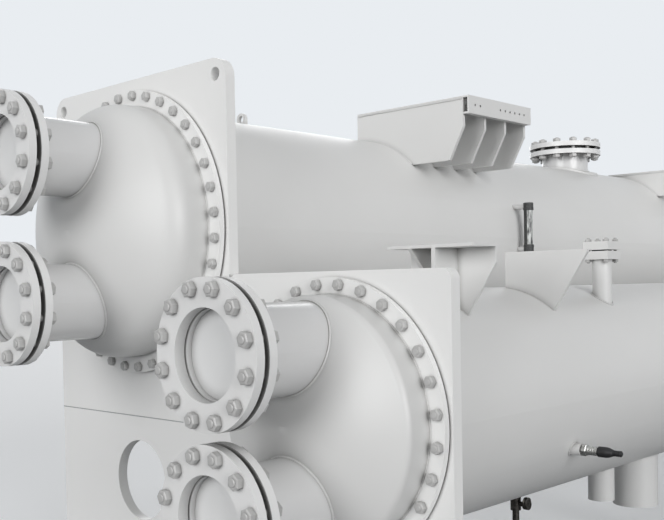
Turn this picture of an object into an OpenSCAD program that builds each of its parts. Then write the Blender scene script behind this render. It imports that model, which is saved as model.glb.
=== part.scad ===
// Set of two shell and tube heat exchangers, one above and to the left of the other.
// Both shells hang between two pairs of flat end plates, which stand on foot plates on the floor.
// The water nozzles face forward (-Y), X runs to the right, Z up, all lengths in millimetres.
// The origin lies on the floor, midway across the front foot, in the plane of the plates' front faces.

/* [End plates and feet] */
// Distance over the outer faces of the front and rear end plates
frame_length = 4000; // [3600:10:5000]
// Thickness of each end plate
plate_thickness = 32; // [25:1:45]
// Width of the upper tube sheets outside the channel flange, each side
upper_side_margin = 12; // [5:1:40]
// Height of the upper tube sheets above the channel flange
upper_top_margin = 38; // [25:1:80]
// Width of the lower tube sheets outside the channel flange, toward the upper unit
lower_inner_margin = 46; // [20:1:80]
// Width of the lower tube sheets outside the channel flange, on the free side
lower_outer_margin = 7; // [4:1:40]
// Height of the lower tube sheets above the channel flange
lower_top_margin = 15; // [5:1:60]
// Height from the floor to the joint under the upper tube sheets
support_height = 520; // [480:5:560]
// Radius of the upper tube sheets' top corners
upper_corner_radius = 55; // [30:5:70]
// Radius of the lower tube sheets' top corners
lower_corner_radius = 25; // [10:5:60]
// Diameter of the lifting holes in the upper tube sheets
lifting_hole_d = 38; // [20:1:44]
// Distance of each lifting hole from both plate edges
lifting_hole_inset = 45; // [40:1:60]
// Diameter of the round window in the support plates
window_d = 244; // [150:2:300]
// Height of that window's centre above the floor
window_height = 324; // [250:2:340]
// Thickness of the foot plates
foot_thickness = 20; // [12:1:30]
// Length of the foot plates front to back
foot_depth = 160; // [140:5:240]
// Diameter of the anchor holes in the foot plates
anchor_hole_d = 24; // [14:1:28]
// Distance of the outer anchor holes from the ends of the foot
anchor_inset = 110; // [60:5:200]
// Distance of the anchor holes from the foot's long edges
anchor_edge = 26; // [18:1:30]

/* [Upper unit] */
// Outside diameter of the upper shell
upper_shell_d = 740; // [680:5:780]
// Height of the upper unit's axis above the joint under its tube sheets
upper_axis_rise = 562; // [550:1:620]
// Outside diameter of the upper unit's dished heads
upper_head_d = 750; // [730:2:756]
// Straight length of the upper heads before they curve
upper_head_straight = 59; // [30:1:80]
// Crown radius of the upper heads
upper_crown_radius = 680; // [600:5:760]
// Knuckle radius of the upper heads
upper_knuckle_radius = 75; // [70:1:80]
// Clearance from the upper heads' outside to the middle of the channel bolts
upper_bolt_offset = 33; // [28:1:45]
// Number of bolts in an upper channel flange
upper_bolt_count = 36; // [24:4:40]
// Distance between the upper unit's two water nozzles
upper_nozzle_pitch = 412; // [380:2:420]
// Distance from the end plates to the front of the upper unit's counter flanges
upper_nozzle_reach = 442; // [410:2:500]

/* [Lower unit] */
// Outside diameter of the lower shell
lower_shell_d = 626; // [600:2:660]
// Height of the lower unit's axis above the floor
lower_axis_height = 583; // [560:1:620]
// Outside diameter of the lower unit's dished heads
lower_head_d = 612; // [606:1:616]
// Straight length of the lower heads before they curve
lower_head_straight = 60; // [40:1:70]
// Crown radius of the lower heads
lower_crown_radius = 560; // [520:5:640]
// Knuckle radius of the lower heads
lower_knuckle_radius = 20; // [18:1:21]
// Clearance from the lower heads' outside to the middle of the channel bolts
lower_bolt_offset = 25; // [24:1:40]
// Number of bolts in a lower channel flange
lower_bolt_count = 28; // [20:4:32]
// Distance between the lower unit's two water nozzles
lower_nozzle_pitch = 364; // [346:2:366]
// Distance from the end plates to the front of the lower unit's counter flanges
lower_nozzle_reach = 412; // [380:2:480]

/* [Shells and channels] */
// Wall thickness of shells and heads
wall = 10; // [6:1:12]
// Thickness of the channel flanges
channel_flange_thickness = 16; // [12:1:36]
// Distance from the channel bolts' middle to the flange's rim
channel_bolt_edge = 17; // [14:1:30]
// Diameter of the channel bolt holes
channel_hole_d = 18; // [14:1:20]
// Thickness of the gaskets behind the channel flanges
channel_gasket = 5; // [2:0.5:6]

/* [Flanged nozzles] */
// Outside diameter of the nozzle pipes
nozzle_pipe_d = 219.1; // [200:0.1:225]
// Wall thickness of the nozzle pipes
nozzle_wall = 8; // [5:0.5:10]
// Outside diameter of the nozzle flanges
nozzle_flange_d = 340; // [335:1:345]
// Diameter of the nozzle bolt circle
nozzle_bolt_circle = 295; // [291:1:297]
// Number of bolts in a nozzle flange
nozzle_bolt_count = 12; // [8:4:12]
// Diameter of the nozzle bolt holes
nozzle_hole_d = 22; // [18:1:23]
// Thickness of the nozzle flanges and of the counter flanges, without their raised faces
nozzle_flange_thickness = 22; // [18:1:28]
// Height of the raised faces between the nozzle flanges
raised_face = 5; // [2:0.5:6]
// Diameter of those raised faces
raised_face_d = 266; // [250:1:268]
// Thickness of the nozzle gaskets
nozzle_gasket = 4; // [2:0.5:6]
// Bore of the counter flanges
counter_bore_d = 208; // [200:1:212]
// Bore of the gaskets between the nozzle flanges
gasket_bore_d = 222; // [215:1:230]
// Depth of the blanking discs behind the front of the counter flanges
blank_recess = 45; // [38:1:60]
// Thickness of the blanking discs
blank_thickness = 10; // [6:1:14]
// Distance from the rear plates to the gas nozzle on the upper shell
gas_nozzle_offset = 1442; // [1250:2:1700]
// Height of the gas nozzle's flange above the upper shell
gas_nozzle_rise = 72; // [60:2:140]
// Width of the reinforcing pad round the gas nozzle
pad_width = 45; // [30:1:60]
// Thickness of that pad
pad_thickness = 8; // [6:1:12]

/* [Compressor bracket] */
// Distance from the front plates to the compressor bracket
bracket_distance = 1022; // [900:2:1100]
// Length of the compressor bracket front to back
bracket_length = 394; // [370:2:440]
// Number of gussets under the compressor bracket
bracket_gusset_count = 4; // [2:1:5]
// Width of the compressor bracket from the shell's ridge
bracket_width = 490; // [460:5:540]
// Height of the compressor bracket above the shell's ridge
bracket_rise = 105; // [90:1:140]
// Height of the gussets' upright outer edge
bracket_edge = 97; // [80:1:110]
// Height of the gussets, from the top plate to their flat foot
bracket_gusset_height = 208; // [180:2:240]
// Distance by which the gussets' outer edge slants in
bracket_slant_in = 60; // [30:1:120]
// Thickness of bracket gussets and upright plates
gusset_thickness = 12; // [8:1:16]
// Thickness of bracket top plates
shelf_thickness = 8; // [6:1:12]
// Width of the edge channel's flanges
edge_channel_width = 25; // [20:1:40]
// Height of the edge channel
edge_channel_height = 62; // [55:1:80]
// Thickness of the edge channel's web and flanges
edge_channel_wall = 6; // [4:0.5:8]
// Diameter of the holes in the edge channel
edge_hole_d = 9; // [6:1:14]
// Distance between neighbouring holes in the edge channel
edge_hole_pitch = 31; // [20:1:34]
// Distance from the edge channel's front end to its first hole
edge_hole_start = 39; // [20:1:45]

/* [Rear bracket] */
// Distance from the rear plates to the rear bracket
rear_bracket_offset = 620; // [560:5:660]
// Length of the rear bracket front to back
rear_bracket_length = 380; // [340:5:400]
// Number of gussets under the rear bracket
rear_gusset_count = 3; // [2:1:4]
// Width of the rear bracket from the shell's ridge
rear_bracket_width = 455; // [430:5:500]
// Height of the rear bracket above the shell's ridge
rear_bracket_rise = 12; // [10:1:40]
// Height of the rear gussets' upright outer edge
rear_bracket_edge = 62; // [40:1:80]
// Height of the rear gussets, from the top plate to their flat foot
rear_gusset_height = 122; // [100:2:150]
// Distance by which the rear gussets' outer edge slants in
rear_slant_in = 60; // [30:1:120]

/* [Pipe brackets on the lower shell] */
// Distance from the front plates to the folded bracket's shelf
shelf_distance = 190; // [160:5:240]
// Depth of that shelf front to back
shelf_length = 95; // [70:1:140]
// Distance from the lower axis to the near side of the folded bracket
shelf_near = 12; // [0:1:40]
// Distance from the lower axis to the far side of the folded bracket
shelf_far = 281; // [260:1:300]
// Height of the folded bracket above the lower shell's ridge
shelf_rise = 112; // [90:1:130]
// Height of the upright end of the folded bracket's edge
shelf_edge = 48; // [30:1:60]
// Distance from the near side of the folded bracket to its triangular rib
triangle_rib_offset = 66; // [50:1:80]
// Distance from the near side of the folded bracket to its square rib
square_rib_offset = 142; // [120:1:160]
// Distance from the front plates to the upright bracket
upright_distance = 700; // [640:5:760]
// Distance from the lower axis to the near side of the upright bracket
upright_near = 35; // [10:1:60]
// Distance from the lower axis to the far side of the upright bracket
upright_far = 302; // [280:1:310]
// Height of the upright bracket above the lower shell's ridge
upright_rise = 103; // [80:1:130]
// Slant of both brackets' free edges from the upright
bracket_slant = 33; // [25:1:38]

/* [Level glass] */
// Length of the level glass with its end caps
glass_length = 191; // [140:1:240]
// Diameter of the level glass
glass_d = 32; // [20:1:36]
// Distance of the level glass's end caps from the upper shell
glass_gap = 24; // [20:1:40]
// Distance from the front plates to the level glass
glass_distance = 1555; // [1500:5:1700]
// Height of the level glass's middle above the upper unit's axis
glass_rise = 41; // [0:1:90]
// Diameter of the level glass's end caps
glass_cap_d = 38; // [38:1:46]
// Height of the level glass's end caps
glass_cap_height = 26; // [24:1:34]
// Diameter of the pipes that carry the level glass
glass_tap_d = 20; // [14:1:22]

/* [Small flanged port] */
// Distance from the front plates to the small port on the lower shell
port_distance = 1062; // [1000:2:1130]
// Distance from the lower axis to the small port
port_offset = 155; // [130:1:165]
// Outside diameter of the small port's pipe
port_pipe_d = 60; // [40:1:62]
// Wall thickness of that pipe
port_wall = 4; // [3:0.5:6]
// Side of the small port's square flanges
port_flange = 84; // [82:1:100]
// Thickness of the small port's flanges
port_flange_thickness = 26; // [16:1:30]
// Thickness of the gasket between them
port_gasket = 4; // [2:0.5:5]
// Height of the small port's flange joint above the lower shell's ridge
port_rise = 108; // [90:1:125]
// Diameter of the bolt holes in the small port's flanges
port_hole_d = 12; // [8:1:14]
// Distance of those holes from the flanges' sides
port_hole_inset = 12; // [11:1:14]

/* [Liquid stubs and drain valve] */
// Outside diameter of the small liquid stub
small_stub_d = 89; // [60:1:100]
// Length of the small liquid stub below the shell
small_stub_length = 120; // [80:2:160]
// Distance from the front plates to the small liquid stub
small_stub_distance = 1332; // [1280:2:1400]
// Outside diameter of the large liquid stub
large_stub_d = 159; // [140:1:168]
// Length of the large liquid stub below the shell
large_stub_length = 180; // [120:2:230]
// Distance from the front plates to the large liquid stub
large_stub_distance = 1588; // [1540:2:1700]
// Wall thickness of the liquid stubs
stub_wall = 5; // [3:0.5:7]
// Distance from the front plates to the drain valve
drain_distance = 793; // [700:1:900]
// Diameter of the drain valve's body
drain_body_d = 32; // [26:1:40]
// Diameter of the drain valve's neck and outlet
drain_neck_d = 21; // [17:1:25]
// Length of the drain valve below the shell
drain_length = 91; // [80:1:120]
// Diameter of the drain valve's hand knob
drain_knob_d = 30; // [20:1:34]

/* [Temperature sensor] */
// Distance from the front plates to the temperature sensor
sensor_distance = 645; // [560:5:700]
// Drop of the temperature sensor below the lower axis
sensor_drop = 134; // [80:2:180]
// Diameter of the sensor's welded boss
boss_d = 34; // [30:1:44]
// Length of that boss outside the shell
boss_length = 28; // [15:1:40]
// Length of the sensor's nut and metal body
sensor_body_length = 54; // [40:1:70]
// Length of the sensor's black boot
sensor_boot_length = 64; // [40:1:80]
// Largest diameter of the sensor's black boot
sensor_boot_d = 24; // [18:1:28]

/* [Lifting eyes] */
// Diameter of the lifting eyes' hole
eye_hole_d = 24; // [16:1:30]
// Width of the metal round that hole
eye_rim = 9; // [6:1:14]
// Distance of the lifting eyes from the end plates' outer faces
eye_distance = 440; // [400:5:490]

/* [Hidden] */
$fn = 96;
// Clearance between curved faces that meet, such as a pipe in its hole
seat = 0.3;
// Length by which a cutter runs past the face that it cuts
cut = 20;
// Depth to which pipes, taps and bosses reach in from a shell's outside
root = 2 * wall;

upper_bolt_circle = upper_head_d + 2 * upper_bolt_offset;
lower_bolt_circle = lower_head_d + 2 * lower_bolt_offset;
upper_flange_d = upper_bolt_circle + 2 * channel_bolt_edge;
lower_flange_d = lower_bolt_circle + 2 * channel_bolt_edge;
upper_plate_width = upper_flange_d + 2 * upper_side_margin;
lower_plate_width = lower_flange_d + lower_inner_margin + lower_outer_margin;

left_edge = -(upper_plate_width + lower_plate_width) / 2;
plate_seam_x = left_edge + upper_plate_width;
right_edge = plate_seam_x + lower_plate_width;
rear_face = frame_length;
shell_length = frame_length - 2 * plate_thickness;
foot_overhang = (foot_depth - plate_thickness) / 2;

upper_x = left_edge + upper_plate_width / 2;
lower_x = plate_seam_x + lower_inner_margin + lower_flange_d / 2;
upper_z = support_height + upper_axis_rise;
lower_z = lower_axis_height;
upper_r = upper_shell_d / 2;
lower_r = lower_shell_d / 2;
upper_ridge = upper_z + upper_r;
lower_ridge = lower_z + lower_r;
upper_plate_top = upper_z + upper_flange_d / 2 + upper_top_margin;
lower_plate_top = lower_z + lower_flange_d / 2 + lower_top_margin;

flange_face = channel_gasket + channel_flange_thickness;
nozzle_r = nozzle_pipe_d / 2;
// Distance from the end of the heads' straight part to the nozzle pipes' inner ends
upper_pipe_past = 40;
lower_pipe_past = -8;
// Distance of those inner ends from the end plates
upper_pipe_end = flange_face + upper_head_straight + upper_pipe_past;
lower_pipe_end = flange_face + lower_head_straight + lower_pipe_past;
// Thickness of the flange pair from a counter flange's front to the end of the nozzle pipe
nozzle_joint = nozzle_flange_thickness + raised_face + nozzle_gasket;
gas_nozzle_distance = frame_length - gas_nozzle_offset;
gas_flange_bottom = upper_ridge + gas_nozzle_rise;
gas_flange_top = gas_flange_bottom + nozzle_flange_thickness + raised_face;
// The four water nozzles as [x, z, distance of the counter flange's front]
water_nozzles = [
    [upper_x, upper_z + upper_nozzle_pitch / 2, upper_nozzle_reach],
    [upper_x, upper_z - upper_nozzle_pitch / 2, upper_nozzle_reach],
    [lower_x, lower_z + lower_nozzle_pitch / 2, lower_nozzle_reach],
    [lower_x, lower_z - lower_nozzle_pitch / 2, lower_nozzle_reach],
];

gusset_step = (bracket_length - gusset_thickness) / (bracket_gusset_count - 1);
rear_gusset_step = (rear_bracket_length - gusset_thickness) / (rear_gusset_count - 1);
bracket_top = upper_ridge + bracket_rise;
// Places in the row of the edge channel's holes that are drilled
edge_holes = [0, 1, 5, 6, 7, 8, 9, 10];
rear_bracket_start = frame_length - rear_bracket_offset - rear_bracket_length;
rear_bracket_top = upper_ridge + rear_bracket_rise;
shelf_top = lower_ridge + shelf_rise;
upright_top = lower_ridge + upright_rise;

glass_x = upper_x + upper_r + glass_gap + glass_cap_d / 2;
glass_z = upper_z + glass_rise;
// Heights of the level glass's two taps, in the middle of its end caps
glass_tap_heights = [
    glass_z - (glass_length - glass_cap_height) / 2,
    glass_z + (glass_length - glass_cap_height) / 2,
];
port_x = lower_x + port_offset;
port_joint = lower_ridge + port_rise;
port_flange_bottom = port_joint - port_gasket / 2 - port_flange_thickness;
// The liquid stubs as [distance, diameter, length below the shell]
liquid_stub_list = [
    [small_stub_distance, small_stub_d, small_stub_length],
    [large_stub_distance, large_stub_d, large_stub_length],
];
// Parts of the drain valve's length that its neck and its body take
drain_neck_share = 0.2;
drain_body_share = 0.45;
// Distance from the lower axis at which the shell's surface passes the sensor
boss_foot = sqrt(pow(lower_r, 2) - pow(sensor_drop, 2));
boss_end = boss_foot + boss_length;

// Extrudes an outline drawn in the X-Z plane from y to y + t
module slab(y, t) {
    translate([0, y + t, 0])
        rotate([90, 0, 0])
            linear_extrude(t) children();
}

// Puts children drawn along Z on the line (x, z), starting at y and running to the back
module along_y(x, y, z) {
    translate([x, y, z])
        rotate([-90, 0, 0]) children();
}

// Puts children drawn along Z on the line (x, z), starting at y and running to the front
module toward_front(x, y, z) {
    translate([x, y, z])
        rotate([90, 0, 0]) children();
}

module ring(outer_d, inner_d, length) {
    difference() {
        cylinder(d = outer_d, h = length);
        translate([0, 0, -cut]) cylinder(d = inner_d, h = length + 2 * cut);
    }
}

// Bolt holes along Z that straddle the centre lines
module bolt_holes(circle_d, count, hole_d, length) {
    for (i = [0 : count - 1])
        rotate((i + 0.5) * 360 / count)
            translate([circle_d / 2, 0, -cut])
                cylinder(d = hole_d, h = length + 2 * cut, $fn = 32);
}

// Plate outline with square bottom corners and top corners rounded by r
module plate_outline(x0, x1, z0, z1, r) {
    translate([x0, z0]) square([x1 - x0, z1 - z0 - r]);
    translate([x0 + r, z0]) square([x1 - x0 - 2 * r, z1 - z0]);
    for (x = [x0 + r, x1 - r])
        translate([x, z1 - r]) circle(r);
}

// Half outline of a dished head: a straight skirt, a knuckle arc and a crown arc that meet tangentially.
// Drawn again by the same rule for the inside, with the arcs' radii less the inset.
module head_outline(r, straight, crown, knuckle, inset) {
    reach = crown - sqrt(pow(crown - knuckle, 2) - pow(r - knuckle, 2));
    centre = straight + reach - crown;
    tilt = asin((r - knuckle) / (crown - knuckle));
    arc = crown - inset;
    meet = [arc * sin(tilt), centre + arc * cos(tilt)];
    far = 2 * crown;
    // The inside starts beyond the axis and below the skirt, so that it cuts them through
    start = inset > 0 ? -cut : 0;
    intersection() {
        translate([start, start]) square([r - inset - start, straight + reach + cut - start]);
        union() {
            polygon([[start, start], [r - inset, start], [r - inset, straight], [r - knuckle, straight],
                meet, [start, meet[1]]]);
            translate([r - knuckle, straight]) circle(knuckle - inset);
            intersection() {
                translate([0, centre]) circle(arc, $fn = 180);
                polygon([[start, centre], [0, centre], [far * sin(tilt), centre + far * cos(tilt)],
                    [start, centre + far]]);
            }
        }
    }
}

module dished_head(outer_d, straight, crown, knuckle) {
    rotate_extrude($fn = 180)
        difference() {
            head_outline(outer_d / 2, straight, crown, knuckle, 0);
            head_outline(outer_d / 2, straight, crown, knuckle, wall);
        }
}

module foot(y) {
    color("gainsboro")
        difference() {
            translate([left_edge, y, 0])
                cube([right_edge - left_edge, foot_depth, foot_thickness]);
            for (x = [left_edge + anchor_inset, plate_seam_x, right_edge - anchor_inset])
                for (dy = [anchor_edge, foot_depth - anchor_edge])
                    translate([x, y + dy, -cut])
                        cylinder(d = anchor_hole_d, h = foot_thickness + 2 * cut);
        }
}

module front_foot() {
    foot(-foot_overhang);
}

module rear_foot() {
    foot(rear_face - plate_thickness - foot_overhang);
}

module support(y) {
    color("whitesmoke")
        slab(y, plate_thickness)
            difference() {
                translate([left_edge, foot_thickness])
                    square([upper_plate_width, support_height - foot_thickness]);
                translate([upper_x, window_height]) circle(d = window_d);
            }
}

module upper_front_support() {
    support(0);
}

module upper_rear_support() {
    support(rear_face - plate_thickness);
}

// Plate from y to the back with the bolt holes of its channel, round the axis (x, z)
module drilled_sheet(y, x, z, circle_d, count) {
    difference() {
        slab(y, plate_thickness) children();
        along_y(x, y, z) bolt_holes(circle_d, count, channel_hole_d, plate_thickness);
    }
}

module upper_sheet(y) {
    color("whitesmoke")
        drilled_sheet(y, upper_x, upper_z, upper_bolt_circle, upper_bolt_count)
            difference() {
                plate_outline(left_edge, plate_seam_x, support_height, upper_plate_top,
                    upper_corner_radius);
                for (x = [left_edge + lifting_hole_inset, plate_seam_x - lifting_hole_inset])
                    translate([x, upper_plate_top - lifting_hole_inset]) circle(d = lifting_hole_d);
            }
}

module lower_sheet(y) {
    color("whitesmoke")
        drilled_sheet(y, lower_x, lower_z, lower_bolt_circle, lower_bolt_count)
            plate_outline(plate_seam_x, right_edge, foot_thickness, lower_plate_top,
                lower_corner_radius);
}

module upper_front_tube_sheet() {
    upper_sheet(0);
}

module upper_rear_tube_sheet() {
    upper_sheet(rear_face - plate_thickness);
}

module lower_front_tube_sheet() {
    lower_sheet(0);
}

module lower_rear_tube_sheet() {
    lower_sheet(rear_face - plate_thickness);
}

module upper_shell() {
    color("silver")
        difference() {
            along_y(upper_x, plate_thickness, upper_z)
                ring(upper_shell_d, upper_shell_d - 2 * wall, shell_length);
            translate([upper_x, gas_nozzle_distance, upper_z])
                cylinder(r = nozzle_r + seat, h = upper_shell_d);
            for (z = glass_tap_heights)
                translate([upper_x, glass_distance, z])
                    rotate([0, 90, 0]) cylinder(d = glass_tap_d + 2 * seat, h = upper_r);
        }
}

module lower_shell() {
    color("silver")
        difference() {
            along_y(lower_x, plate_thickness, lower_z)
                ring(lower_shell_d, lower_shell_d - 2 * wall, shell_length);
            for (stub = liquid_stub_list)
                translate([lower_x, stub[0], lower_z - lower_shell_d])
                    cylinder(d = stub[1] + 2 * seat, h = lower_shell_d);
            translate([port_x, port_distance, lower_z])
                cylinder(d = port_pipe_d + 2 * seat, h = lower_shell_d);
            translate([lower_x, drain_distance, lower_z - lower_shell_d])
                cylinder(d = drain_neck_d + 2 * seat, h = lower_shell_d);
            translate([lower_x, sensor_distance, lower_z - sensor_drop])
                rotate([0, 90, 0]) cylinder(d = boss_d + 2 * seat, h = lower_shell_d);
        }
}

module channel_flange(outer_d, head_d, circle_d, count) {
    difference() {
        ring(outer_d, head_d - 2 * wall, channel_flange_thickness);
        bolt_holes(circle_d, count, channel_hole_d, channel_flange_thickness);
    }
}

module upper_channel_flange() {
    channel_flange(upper_flange_d, upper_head_d, upper_bolt_circle, upper_bolt_count);
}

module lower_channel_flange() {
    channel_flange(lower_flange_d, lower_head_d, lower_bolt_circle, lower_bolt_count);
}

module upper_head() {
    dished_head(upper_head_d, upper_head_straight, upper_crown_radius, upper_knuckle_radius);
}

module lower_head() {
    dished_head(lower_head_d, lower_head_straight, lower_crown_radius, lower_knuckle_radius);
}

// Cutters for the holes in a front head, where its two water nozzles pass through
module nozzle_holes(first) {
    for (place = [water_nozzles[first], water_nozzles[first + 1]])
        toward_front(place[0], 0, place[1]) cylinder(r = nozzle_r + seat, h = place[2]);
}

module upper_front_flange() {
    color("whitesmoke") toward_front(upper_x, -channel_gasket, upper_z) upper_channel_flange();
}

module upper_rear_flange() {
    color("whitesmoke") along_y(upper_x, rear_face + channel_gasket, upper_z) upper_channel_flange();
}

module lower_front_flange() {
    color("whitesmoke") toward_front(lower_x, -channel_gasket, lower_z) lower_channel_flange();
}

module lower_rear_flange() {
    color("whitesmoke") along_y(lower_x, rear_face + channel_gasket, lower_z) lower_channel_flange();
}

module upper_front_head() {
    color("gainsboro")
        difference() {
            toward_front(upper_x, -flange_face, upper_z) upper_head();
            nozzle_holes(0);
        }
}

module lower_front_head() {
    color("gainsboro")
        difference() {
            toward_front(lower_x, -flange_face, lower_z) lower_head();
            nozzle_holes(2);
        }
}

module upper_rear_head() {
    color("gainsboro") along_y(upper_x, rear_face + flange_face, upper_z) upper_head();
}

module lower_rear_head() {
    color("gainsboro") along_y(lower_x, rear_face + flange_face, lower_z) lower_head();
}

// The gaskets lie inside the bolts, so that the joint shows as a dark line behind the flange's rim
module channel_gaskets() {
    inset = channel_hole_d + 2 * seat;
    color("dimgray")
        for (y = [-channel_gasket, rear_face]) {
            along_y(upper_x, y, upper_z)
                ring(upper_bolt_circle - inset, upper_head_d - 2 * wall, channel_gasket);
            along_y(lower_x, y, lower_z)
                ring(lower_bolt_circle - inset, lower_head_d - 2 * wall, channel_gasket);
        }
}

module nozzle_pipe(place, inner_end) {
    toward_front(place[0], -inner_end, place[1])
        ring(nozzle_pipe_d, nozzle_pipe_d - 2 * nozzle_wall, place[2] - nozzle_joint - inner_end);
}

module upper_nozzle_pipes() {
    color("whitesmoke")
        for (i = [0, 1]) nozzle_pipe(water_nozzles[i], upper_pipe_end);
}

module lower_nozzle_pipes() {
    color("whitesmoke")
        for (i = [2, 3]) nozzle_pipe(water_nozzles[i], lower_pipe_end);
}

// Drilled flange with its raised face on top; a bore of 0 leaves it blind
module nozzle_flange(bore) {
    height = nozzle_flange_thickness + raised_face;
    difference() {
        union() {
            cylinder(d = nozzle_flange_d, h = nozzle_flange_thickness);
            cylinder(d = raised_face_d, h = height);
        }
        bolt_holes(nozzle_bolt_circle, nozzle_bolt_count, nozzle_hole_d, height);
        if (bore > 0)
            translate([0, 0, -cut]) cylinder(d = bore, h = height + 2 * cut);
    }
}

module nozzle_flanges() {
    bore = nozzle_pipe_d + 2 * seat;
    back = nozzle_joint + raised_face + nozzle_flange_thickness;
    color("whitesmoke") {
        for (place = water_nozzles)
            toward_front(place[0], back - place[2], place[1]) nozzle_flange(bore);
        translate([upper_x, gas_nozzle_distance, gas_flange_bottom]) nozzle_flange(bore);
    }
}

module nozzle_gasket_ring() {
    ring(raised_face_d - 2 * seat, gasket_bore_d, nozzle_gasket);
}

module nozzle_gaskets() {
    color("dimgray") {
        for (place = water_nozzles)
            toward_front(place[0], nozzle_joint - place[2], place[1]) nozzle_gasket_ring();
        translate([upper_x, gas_nozzle_distance, gas_flange_top]) nozzle_gasket_ring();
        translate([port_x, port_distance, port_joint - port_gasket / 2])
            ring(port_pipe_d, port_pipe_d - 2 * port_wall, port_gasket);
    }
}

// The counter flanges face the nozzle flanges with their raised faces
module counter_flanges() {
    color("whitesmoke")
        for (place = water_nozzles)
            along_y(place[0], -place[2], place[1]) nozzle_flange(counter_bore_d);
}

module nozzle_blanks() {
    color("gainsboro")
        for (place = water_nozzles)
            along_y(place[0], blank_recess - place[2], place[1])
                cylinder(d = nozzle_pipe_d - 2 * nozzle_wall - 2 * seat, h = blank_thickness);
}

module gas_nozzle_pipe() {
    color("gainsboro")
        translate([upper_x, gas_nozzle_distance, upper_ridge - root])
            ring(nozzle_pipe_d, nozzle_pipe_d - 2 * nozzle_wall, gas_flange_top - upper_ridge + root);
}

module gas_nozzle_pad() {
    color("gainsboro")
        intersection() {
            along_y(upper_x, gas_nozzle_distance - nozzle_pipe_d, upper_z)
                ring(upper_shell_d + 2 * seat + 2 * pad_thickness, upper_shell_d + 2 * seat,
                    2 * nozzle_pipe_d);
            translate([upper_x, gas_nozzle_distance, upper_z])
                ring(nozzle_pipe_d + 2 * pad_width, nozzle_pipe_d + 2 * seat, upper_shell_d);
        }
}

module gas_blind_flange() {
    height = nozzle_flange_thickness + raised_face;
    color("whitesmoke")
        translate([upper_x, gas_nozzle_distance, gas_flange_top + nozzle_gasket + height])
            mirror([0, 0, 1]) nozzle_flange(0);
}

// Gusset outline: an upright outer edge, a slant and a flat foot, above the upper shell
module bracket_gusset_outline(top, width, edge, slant_in, height) {
    difference() {
        polygon([[upper_x, upper_z], [upper_x, top], [upper_x + width, top],
            [upper_x + width, top - edge], [upper_x + width - slant_in, top - height],
            [upper_x, top - height]]);
        translate([upper_x, upper_z]) circle(upper_r + seat);
    }
}

module compressor_gussets() {
    color("gainsboro")
        for (i = [0 : bracket_gusset_count - 1])
            slab(bracket_distance + i * gusset_step, gusset_thickness)
                bracket_gusset_outline(bracket_top - shelf_thickness, bracket_width, bracket_edge,
                    bracket_slant_in, bracket_gusset_height);
}

module compressor_top_plate() {
    color("gainsboro")
        translate([upper_x, bracket_distance, bracket_top - shelf_thickness])
            cube([bracket_width, bracket_length, shelf_thickness]);
}

module compressor_edge_channel() {
    x0 = upper_x + bracket_width;
    z0 = bracket_top - edge_channel_height;
    t = edge_channel_wall;
    color("whitesmoke")
        difference() {
            translate([x0, bracket_distance, z0])
                cube([edge_channel_width, bracket_length, edge_channel_height]);
            translate([x0 - cut, bracket_distance - cut, z0 + t])
                cube([edge_channel_width + cut - t, bracket_length + 2 * cut,
                    edge_channel_height - 2 * t]);
            for (i = edge_holes)
                translate([x0, bracket_distance + edge_hole_start + i * edge_hole_pitch,
                    z0 + edge_channel_height / 2])
                    rotate([0, 90, 0]) cylinder(d = edge_hole_d, h = edge_channel_width + cut, $fn = 32);
        }
}

module rear_bracket_gussets() {
    color("gainsboro")
        for (i = [0 : rear_gusset_count - 1])
            slab(rear_bracket_start + i * rear_gusset_step, gusset_thickness)
                bracket_gusset_outline(rear_bracket_top - shelf_thickness, rear_bracket_width,
                    rear_bracket_edge, rear_slant_in, rear_gusset_height);
}

module rear_bracket_top() {
    color("gainsboro")
        translate([upper_x, rear_bracket_start, rear_bracket_top - shelf_thickness])
            cube([rear_bracket_width, rear_bracket_length, shelf_thickness]);
}

// Upright plate on the lower shell, between two distances from its axis, with a slanting free edge
module pipe_plate_outline(near, far, top, edge) {
    foot = lower_z + lower_r / 2;
    slant_in = (top - edge - foot) * tan(bracket_slant);
    difference() {
        polygon([[lower_x + near, foot], [lower_x + near, top], [lower_x + far, top],
            [lower_x + far, top - edge], [lower_x + far - slant_in, foot]]);
        translate([lower_x, lower_z]) circle(lower_r + seat);
    }
}

// A folded bracket with its shelf to the front, and an upright plate further back
module pipe_bracket_shelves() {
    color("gainsboro") {
        union() {
            translate([lower_x + shelf_near, shelf_distance, shelf_top - shelf_thickness])
                cube([shelf_far - shelf_near, shelf_length + shelf_thickness, shelf_thickness]);
            slab(shelf_distance + shelf_length, shelf_thickness)
                pipe_plate_outline(shelf_near, shelf_far, shelf_top, shelf_edge);
        }
        slab(upright_distance, gusset_thickness)
            pipe_plate_outline(upright_near, upright_far, upright_top, shelf_thickness);
    }
}

// Extrudes an outline drawn in the Y-Z plane from x to x + t
module rib(x, t) {
    translate([x, 0, 0])
        rotate([90, 0, 90])
            linear_extrude(t) children();
}

// The folded bracket's ribs: a triangle under the shelf and a square plate that stands on the shell
module pipe_bracket_gussets() {
    top = shelf_top - shelf_thickness;
    back = shelf_distance + shelf_length;
    color("gainsboro") {
        rib(lower_x + shelf_near + triangle_rib_offset, gusset_thickness)
            polygon([[shelf_distance, top], [back, top], [back, top - shelf_length]]);
        difference() {
            rib(lower_x + shelf_near + square_rib_offset, gusset_thickness)
                polygon([[shelf_distance, top], [back, top], [back, lower_z], [shelf_distance, lower_z]]);
            along_y(lower_x, shelf_distance - cut, lower_z)
                cylinder(r = lower_r + seat, h = shelf_length + 2 * cut);
        }
    }
}

module level_glass() {
    color("black")
        translate([glass_x, glass_distance, glass_tap_heights[0] + glass_cap_height / 2])
            cylinder(d = glass_d, h = glass_length - 2 * glass_cap_height);
}

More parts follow.
